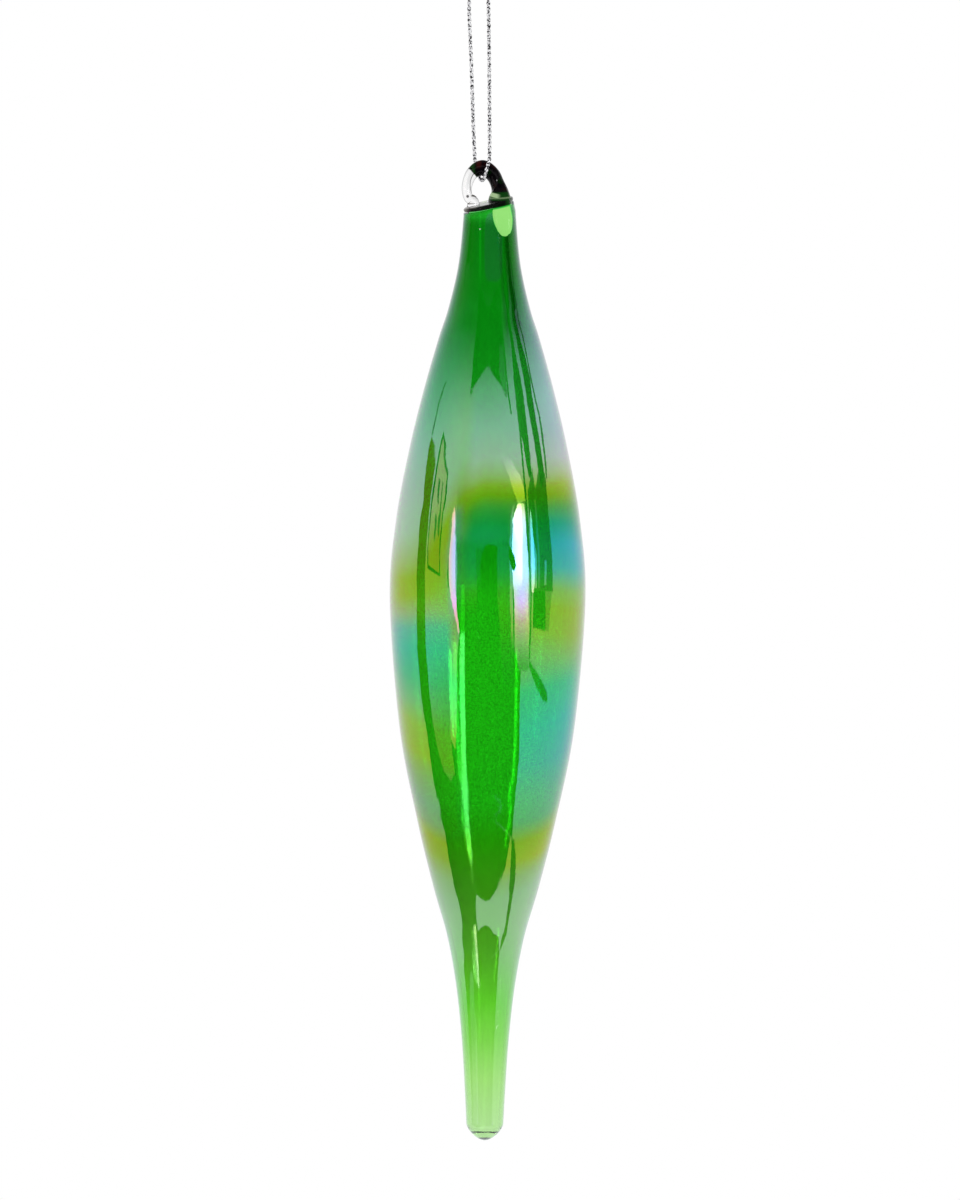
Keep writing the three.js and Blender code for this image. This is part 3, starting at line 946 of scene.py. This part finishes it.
def ringGlass():
    # clear on the left with drawn lines, a band of painted grey shade and painted dark edges, black over the
    # top and down the right, then, under the neck's dark rim, green and the pale foot, with a painted glow
    # and painted edges
    paint = Paint("ringGlass")
    spot = paint.glassSpot()
    x, y, z = paint.parts(spot)
    height = paint.mouthHeight(x, y, z)
    facing = paint.facing()
    drawn = paint.noise(spot, 1.1, 1.0, 0.5, (1, 1, 0.16))
    hoop = paint.away(spot * (1, 0.5, 0.8), (0, 0, -4.2)) - 0.17 * (z + 4.7)
    front = 1 - paint.rise(y, -0.6, 0)
    # a dark drawn line, and beside it a wide band of painted grey shade
    drawnLineAndShade = 1 - front * (0.85 * paint.bump(hoop, 3.2, 0.2) + 0.3 * paint.bump(hoop, 3.6, 0.8))
    # painted shade: the clear glass darkens towards its edges
    edges = 0.96 - 0.8 * paint.rise(facing, 0.32, 0.78)
    seed = paint.rise(paint.away(spot, (-3.75, -1.3, -7.5)), 0.3, 0.5)
    clear = paint.glass(paint.between(seed, (0.02, 0.02, 0.02), white) * (drawnLineAndShade * edges), 1.5)

    # the dark glass: stains, painted glints, a red tinge on top, green to the left, a pale facet that is a
    # painted reflection, and the dark rim
    stain = paint.noise(spot, 0.4, 1.0)
    glints = paint.rise(paint.noise(spot, 0.9, 2.0, 0.6, (1, 1, 0.5)), 0.67, 0.72)
    slant = height + 0.18 * (x - 5)
    wedge = paint.rise(paint.bump(slant + 0.2 * (x - 3), 1.45, 0.75), 0.1, 0.5)
    facetReflection = wedge * (1 - paint.rise(x, 3.6, 5.0))
    deep = paint.coated((0.003, 0.002, 0.003), [
        (paint.rise(stain, 0.54, 0.7), (0.014, 0.001, 0.001)),
        (1 - paint.rise(stain, 0.32, 0.42), (0.002, 0.012, 0.002)),
        (glints, (0.5, 0.5, 0.5)),
        (paint.bump(x, -0.9, 1.1) * paint.rise(z, -0.6, 0.6), (0.05, 0.008, 0.006)),
        (1 - paint.rise(x, -2.6, -1.5), (0.010, 0.055, 0.008)),
        (paint.bump(x, 7.6, 1.3) * paint.bump(z, -6.9, 1.7), (0.12, 0.11, 0.11)),
        (1 - paint.rise(slant, 1.8, 2.3), (0.003, 0.06, 0.004)),
        # the pale facet, a painted reflection
        (paint.most(facetReflection, 0.4 * paint.bump(slant, 0.75, 0.3)), ink(190, 222, 166)),
        ((1 - paint.rise(slant, 0.1, 0.35)) * (1 - paint.rise(x, 5.8, 6.8)), (0.003, 0.006, 0.003)),
    ])
    dark = paint.surface({
        "Base Color": deep, "Roughness": 0.04, "IOR": 1.5, "Specular IOR Level": 0.1,
        "Normal": paint.bumped(drawn, 0.5, 0.0003),
    })
    rimGreen = paint.between(paint.rise(height, -1.35, -1.05), (0.03, 0.55, 0.05), (0.003, 0.03, 0.003))
    # towards its edges the foot is painted a bright green rim, then a dark outline: painted highlight and
    # shade
    footColor = paint.coated((0.33, 0.83, 0.20), [
        (paint.rise(facing, 0.3, 0.5), (0.10, 0.95, 0.12)),
        (paint.rise(facing, 0.5, 0.62), (0.01, 0.24, 0.012)),
        (paint.rise(height, -1.65, -1.35), rimGreen),
    ])
    foot = paint.surface({
        "Base Color": footColor, "Roughness": 0.1, "Specular IOR Level": 0.1,
        # a painted glow: the foot shines a little with its own colour
        "Emission Color": footColor, "Emission Strength": 0.22,
    })
    wobble = x + 1.6 * (drawn - 0.5)
    turned = paint.most(paint.rise(wobble + 0.75 * z, -3.3, -2.9), paint.rise(wobble, -0.9, -0.2))
    low = paint.rise(0 - height, 0.8, 1.0) * paint.rise(x, 0.5, 1.5)
    return paint.finish(paint.mixed(low, paint.mixed(turned, clear, dark), foot))


ringPiece = makeRing()
print(f"scene: ring of {len(ringPiece.data.polygons)} faces")

# studio: a white room seen by camera, gloss and glass, soft grey light for all else
studio = {
    "light": 0.72,
    "dome": 1240.0,  # mm from the drop's middle to the cards
    "cardGap": 4.0,  # mm from one card to the next
    "cardEdge": 4.0,  # degrees, the longest edge of a card's faces
    "floorHalf": 2.5,  # m
    "floorLevel": -1.0,
}
scene.view_settings.view_transform = "Standard"
dropMiddle = Vector((0, 0, shot["middleDown"])) * mm
bodyMesh = bodyPiece.data
bodyTree = BVHTree.FromPolygons([v.co for v in bodyMesh.vertices], [p.vertices for p in bodyMesh.polygons])


def whiteRoom():
    paint = Paint("room", "worlds")
    color = paint.between(paint.plainlySeen(), studio["light"], white)
    scene.world = paint.finish(paint.node("ShaderNodeBackground", {}, {"Color": color}))


def makeFloor():
    half, level = studio["floorHalf"], studio["floorLevel"]
    bm = bmesh.new()
    corners = ((-half, -half), (half, -half), (half, half), (-half, half))
    bm.faces.new([bm.verts.new((x, y, level)) for x, y in corners])
    piece = newPiece("floor", meshFrom(bm, "floor"), smooth=False)
    paint = Paint("floorPaint")
    plain = paint.surface({"Base Color": (0.9, 0.9, 0.9), "Roughness": 0.8})
    glow = paint.node("ShaderNodeEmission", {}, {"Color": white})
    piece.data.materials.append(paint.finish(paint.mixed(paint.plainlySeen(), plain, glow)))


def mirroredAt(across, down, farWall=False):
    # what the drop mirrors to the camera at a pixel of the photograph, as (azimuth, elevation) on the dome;
    # with farWall it is what its back mirrors, seen through its front
    eye = scene.camera.location
    aim = Vector((across - shot["width"] / 2, shot["height"] / 2 - down, -shot["distance"] / shot["pixel"]))
    view = scene.camera.rotation_euler.to_matrix() @ aim.normalized()
    behind = eye + view * (2 * shot["distance"] * mm)
    hit = bodyTree.ray_cast(behind, -view)[0] if farWall else bodyTree.ray_cast(eye, view)[0]
    place = glassPlace.inverted() @ hit
    level = -place.z - hang["neckTopDown"]
    slope = (radiusAt(bodyOutline, level + 1.0) - radiusAt(bodyOutline, level - 1.0)) / 2.0
    flat = Vector((place.x - hang["ringOffset"], place.y, 0)).normalized()
    normal = (glassPlace.to_3x3() @ (flat + Vector((0, 0, slope)))).normalized()
    leaves = view - 2 * view.dot(normal) * normal
    start, radius = hit - dropMiddle, studio["dome"] * mm
    reach = -start.dot(leaves) + math.sqrt(start.dot(leaves)**2 - start.length_squared + radius**2)
    end = start + leaves * reach
    return math.degrees(math.atan2(end.x, -end.y)), math.degrees(math.asin(end.z / radius))


def towards(azimuth, elevation, distance):
    # a place round the drop's middle: azimuth 0 is the camera, positive to the right
    a, e = math.radians(azimuth), math.radians(elevation)
    way = Vector((math.sin(a) * math.cos(e), -math.cos(a) * math.cos(e), math.sin(e)))
    return dropMiddle + way * (distance * mm)


def domeFill(bm, outline, distance):
    # a curved patch at one distance from the drop, its edges straight in azimuth and elevation
    bm.faces.new([bm.verts.new((azimuth, elevation, 0)) for azimuth, elevation in outline])
    bm.normal_update()
    bmesh.ops.triangulate(bm, faces=bm.faces[:], ngon_method="EAR_CLIP")
    for step in range(8):  # in practice it stops sooner
        long = [edge for edge in bm.edges if edge.calc_length() > studio["cardEdge"]]
        if not long:
            break
        bmesh.ops.subdivide_edges(bm, edges=long, cuts=1)
        bm.normal_update()
        bmesh.ops.triangulate(bm, faces=[face for face in bm.faces if len(face.verts) > 3])
    for vert in bm.verts:
        vert.co = towards(vert.co.x, vert.co.y, distance)


def makeCard(
    order, name, outline, light, color=white, fade=None, under=1.0, through=False, seen=True, beyond=(),
):
    # a studio card, seen only in the glass; a fade is (angle where it ends softly, angle where it is whole)
    # and under is the light where it has ended. seen: its outline is where the photograph shows it on the
    # drop, else it is (azimuth, elevation); beyond: what follows in the outline, always (azimuth, elevation);
    # through: the far wall mirrors it, behind the front
    if seen:
        outline = [mirroredAt(*point, through) for point in outline] + list(beyond)
    bm = bmesh.new()
    domeFill(bm, outline, studio["dome"] - studio["cardGap"] * order)
    piece = newPiece(name, meshFrom(bm, name), smooth=False)
    for kind in ("camera", "diffuse", "shadow"):
        setattr(piece, f"visible_{kind}", False)
    piece.visible_transmission = through
    piece.visible_glossy = not through
    paint = Paint(name)
    glow = [light * part for part in color]
    if fade:
        x, y, z = paint.parts(paint.place() - dropMiddle)
        elevation = paint.maths("ARCTAN2", z, paint.maths("SQRT", x * x + y * y)) * (180 / math.pi)
        glow = paint.between(paint.rise(elevation, *fade), [under * part for part in color], glow)
    piece.data.materials.append(paint.finish(paint.node("ShaderNodeEmission", {}, {"Color": glow})))


# what stands round the drop; later cards stand in front of earlier ones
cards = [
    ("hood", 0.22, {"fade": (28, 42), "seen": False}, [(-180, 28), (180, 28), (180, 88), (-180, 88)]),
    ("darkTop", 0.0, {"beyond": [(34, 46), (50, 52), (50, 75), (-33, 75), (-33, 46)]}, [
        (474.5, 345), (473.5, 355), (471.7, 380), (470, 395), (474, 387), (478, 380), (481, 375.5),
        (484, 370.5), (486.5, 367), (489, 367), (491.5, 371), (495, 377), (500, 384), (503.5, 390),
        (507, 396.5), (505, 372), (503, 345)]),
    ("dimTop", 0.18, {}, [
        (499.5, 345), (499, 372), (501.5, 384), (507.3, 396.5), (506, 380), (504, 358), (503, 345)]),
    ("darkFront", 0.0, {"fade": (24, 10.5)}, [
        (458, 480), (457, 505), (456.5, 520), (457, 540), (457, 565), (456.5, 590), (456.5, 610),
        (459.5, 632), (457, 660), (457, 700), (456, 740), (455, 780), (456, 810), (460, 840),
        (512, 840), (515, 800), (519, 760), (520, 700), (520.5, 640), (528.5, 600), (529, 560),
        (526, 504), (520, 485), (490, 478)]),
    ("darkTongue", 0.0, {}, [
        (476, 893), (479, 897), (482.5, 900), (486, 901.5), (489.5, 900), (493, 895.5), (497, 888),
        (501.5, 879), (505, 869), (507, 858), (510.5, 838), (460, 838)]),
    ("darkLow", 0.02, {"seen": False}, [
        (-78, -17), (-79, -23), (-80, -26), (-74, -31), (-72, -34), (-71, -46), (-28, -46),
        (-28.2, -38.2), (-25, -36), (-22, -34), (-22, -30), (-50, -17)]),
    ("bandRight", 0.05, {"beyond": [(58, -44), (72, -44)]}, [
        (511, 906), (514.5, 884), (515.6, 870), (514, 840), (511.5, 840), (511, 855), (510, 872.5),
        (509.3, 892.5), (508, 906)]),
    ("streakRight", 0.03, {"beyond": [(69, 60), (80, 60)]}, [
        (520, 338), (525, 355), (530, 378), (532, 395), (536, 420), (541, 450), (546, 485), (546, 492),
        (540, 492), (538, 470), (535, 448), (531, 425), (527, 402), (523, 375), (518.5, 352), (516, 338)]),
    ("streakMiddle", 0.03, {"beyond": [(53.3, 60), (60.9, 60)]}, [
        (514, 345), (520, 375), (523, 392), (526, 420), (529, 445), (532, 475), (529, 478), (525, 455),
        (520, 432), (517, 410), (514, 385), (511, 345)]),
    ("streakInner", 0.08, {"beyond": [(33.6, 60), (37.3, 60)]}, [
        (504, 340), (507, 372), (509, 392), (512, 413), (510.5, 413), (507.5, 393), (505, 372),
        (502.5, 340)]),
    ("streakEdge", 0.1, {"beyond": [(87.1, 60), (90.7, 60)]}, [
        (533, 385), (540, 415), (545, 450), (547, 478), (546, 478), (543, 450), (538.5, 415),
        (531.5, 385)]),
    ("zoneLow", 0.12, {}, [
        (530, 478), (532.5, 468), (535, 488), (538, 466), (541, 490), (544.5, 470), (546.5, 486),
        (548, 508), (551, 542), (552.4, 570), (552.4, 592), (533.6, 592), (533.5, 560), (532, 540),
        (529, 512), (527.5, 492)]),
    ("zoneLine", 0.5, {}, [
        (534, 500), (535.5, 500), (538.5, 540), (539.5, 588), (538, 588), (537, 540)]),
    ("zoneSpark", 0.9, {}, [(544.5, 560), (546.5, 560), (546, 585), (544.5, 585)]),
    ("block", 0.04, {}, [(533, 591), (545, 591), (545, 631), (533, 628)]),
    ("blockSide", 0.5, {}, [(545, 591), (552, 591), (548.5, 631), (545, 631)]),
    ("slant", 0.05, {}, [
        (529, 660), (534, 668), (541, 680), (547, 694), (547.5, 703), (543, 702), (537, 690),
        (533, 679), (529, 668)]),
    ("stripLeft", 0.14, {"fade": (-14, -2), "under": 0.02, "color": (1.6, 0.7, 0.1)}, [
        (431.7, 435.7), (435.7, 457), (435.7, 464), (431.4, 493), (429.3, 514), (427, 536),
        (425.7, 557), (425, 600), (426, 650), (430, 697), (435, 735), (439, 755), (444, 772),
        (451, 782), (456, 790), (458, 830), (447, 840), (442, 823), (437, 800), (434, 783),
        (430.5, 760), (427.5, 735), (421.5, 697), (417.5, 650), (416.9, 600), (417, 564), (418.6, 543),
        (420, 521), (423.6, 500), (425.7, 471), (428.6, 450)]),
    ("lineLeft", 0.3, {}, [
        (446, 380), (446.8, 381), (440, 401), (433, 434), (431.5, 434), (438.8, 400)]),
    ("frameLeft", 0.05, {}, [
        (443.6, 430), (448.6, 473), (446, 500), (440.7, 540), (440.3, 577), (427.4, 568),
        (427.9, 535.7), (431.4, 500), (437.1, 461.4)]),
    ("framedLight", 0.85, {"color": (1.1, 0.9, 0.6)}, [
        (443.3, 438), (447.0, 474), (444.6, 500), (439.6, 540), (439.0, 573), (428.6, 564.5),
        (429.2, 535.7), (432.8, 500), (438.6, 461.4)]),
    ("frameStreak1", 0.1, {}, [(439, 477), (440.3, 480), (438.5, 505), (437.2, 500)]),
    ("frameStreak2", 0.1, {}, [(442.5, 480), (443.2, 483), (441, 512), (440, 508)]),
    ("frameStreak3", 0.15, {}, [(436, 512), (437.2, 520), (434.5, 542), (433.6, 535)]),
    ("frameStreak4", 0.15, {}, [(440, 508), (441.2, 512), (438.6, 538), (437.6, 530)]),
    ("tip", 2.1, {"fade": (27, 21), "under": 0.9}, [
        (494, 444), (502, 449), (512, 460), (520, 474), (525, 490), (526.5, 500), (518, 503),
        (514, 492), (509, 475), (503, 460)]),
    ("darkMiddle", 0.0, {}, [
        (485, 545.5), (489, 544), (494, 544.5), (497.5, 547), (497.5, 564), (480, 564), (482.5, 552)]),
    ("haze", 0.16, {"fade": (-14, -4), "under": 0.0}, [
        (498, 546.5), (510, 546.5), (509.5, 560), (510.5, 600), (513, 640), (514, 690), (503, 690),
        (500, 640), (497.5, 600), (497, 560)]),
    ("dimLeft", 0.42, {"fade": (-7, -15), "under": 1.0}, [
        (431, 660), (448, 660), (449.5, 700), (451, 740), (455, 775), (451, 782), (444, 772),
        (439, 755), (435, 735), (430, 697)]),
    ("hazeLeft", 0.15, {"fade": (-6, 3), "under": 0.0}, [
        (457.5, 546.5), (476, 546.5), (477, 600), (476, 640), (460, 628), (457.3, 600), (457.5, 560)]),
    ("hazeInner", 0.06, {"fade": (-2, 9), "under": 0.0}, [
        (476, 549), (482.5, 549), (480, 566), (483, 600), (477, 600)]),
    ("panelHalo", 1.1, {"fade": (-10, -7), "under": 0.1}, [
        (512.5, 505), (514.5, 505), (513, 530), (513, 600), (514, 650), (511, 650), (510, 600),
        (509.5, 560), (509.5, 540), (510.5, 525)]),
    ("panelRight", 9.0, {"fade": (-1.5, 7), "under": 3.6}, [
        (517.5, 503), (521.5, 503), (522, 560), (521.5, 600), (514, 600), (513.2, 580), (512, 560),
        (512, 545), (512.5, 530), (514, 515)]),
    ("panelSide", 4.5, {"fade": (-1.5, 7), "under": 3.6}, [
        (521.5, 503), (524, 503), (526, 530), (528.3, 558), (528.3, 600), (521.5, 600), (522, 560)]),
    ("panelRightLow", 3.6, {"fade": (-12, -3.5), "under": 0.3}, [
        (514, 600), (528.3, 600), (528.3, 672), (519.5, 672), (517, 660), (514.5, 650)]),
    ("brightLine", 4.0, {}, [
        (530.6, 508), (532, 525), (534, 545), (535, 565), (534, 592), (531, 592), (531, 560),
        (530.4, 530)]),
    ("brightSide", 1.2, {}, [(534.5, 540), (536.6, 556), (537, 588), (534.3, 588), (535, 565)]),
    ("chip", 0.0, {}, [(509, 543), (514.5, 556), (516, 566), (514, 572), (511, 567), (508.5, 556)]),
    ("chipTail", 0.05, {}, [(512.4, 590), (513.6, 590), (514.6, 640), (513.4, 640)]),
    ("lineRight", 0.08, {}, [
        (514, 385), (515.5, 385), (519.5, 420), (523, 455), (525.5, 485), (527.5, 512), (529.5, 540),
        (530, 560), (530, 660), (528.7, 660), (528.7, 560), (527.7, 535), (525.7, 510), (523.8, 485),
        (521.3, 455), (517.8, 420)]),
    ("panelLeft", 3.0, {"color": (1.5, 0.88, 1.1)}, [
        (454.5, 505), (452, 520), (450.5, 540), (449, 560), (449, 583), (451, 598), (454, 612),
        (458.5, 635), (459.5, 632), (456.5, 610), (455.6, 590), (455.4, 565), (455.6, 540), (455.6, 520)]),
    ("panelLeftEdge", 0.05, {}, [
        (449, 550), (448.2, 560), (447.4, 575), (448.2, 588), (449, 588), (448.5, 575), (449, 560)]),
    ("glowLeft", 58.0, {"through": True, "color": (0.9, 0.2, 2.8)}, [
        (458.5, 632), (463, 632), (463, 660), (463.3, 700), (464, 740), (464.8, 770), (466, 800),
        (468, 820), (469.5, 840), (471, 854), (468, 854), (464.2, 840), (462, 820), (460.7, 800),
        (459.6, 770), (459.2, 740), (458, 700), (457.3, 660)]),
    ("glowLeftWide", 14.0, {"through": True, "color": (1.0, 0.45, 2.4)}, [
        (451, 640), (455.5, 640), (456, 700), (458, 735), (458.8, 765), (460, 800), (462.5, 820),
        (459.5, 820), (457, 800), (455.5, 770), (454, 740), (450.5, 700), (450, 670)]),
    ("glowLeftEdge", 34.0, {"through": True, "color": (1.0, 0.45, 2.4)}, [
        (446.5, 650), (448.5, 650), (449.5, 700), (451.5, 735), (450.5, 735), (448, 700)]),
    ("glowLeftHigh", 4.0, {"through": True}, [(460, 585), (463, 585), (463, 632), (458.5, 632)]),
    ("glowRight", 8.0, {"through": True}, [
        (517, 650), (519.5, 650), (519.5, 700), (518.5, 740), (516, 780), (511, 820), (508.5, 840),
        (506.5, 840), (508.5, 820), (513.5, 780), (516, 740), (517, 700)]),
]

whiteRoom()
makeFloor()
for order, (name, light, ways, outline) in enumerate(cards, 1):
    makeCard(order, name, outline, light, **ways)
print(f"scene: studio of {len(cards)} cards")
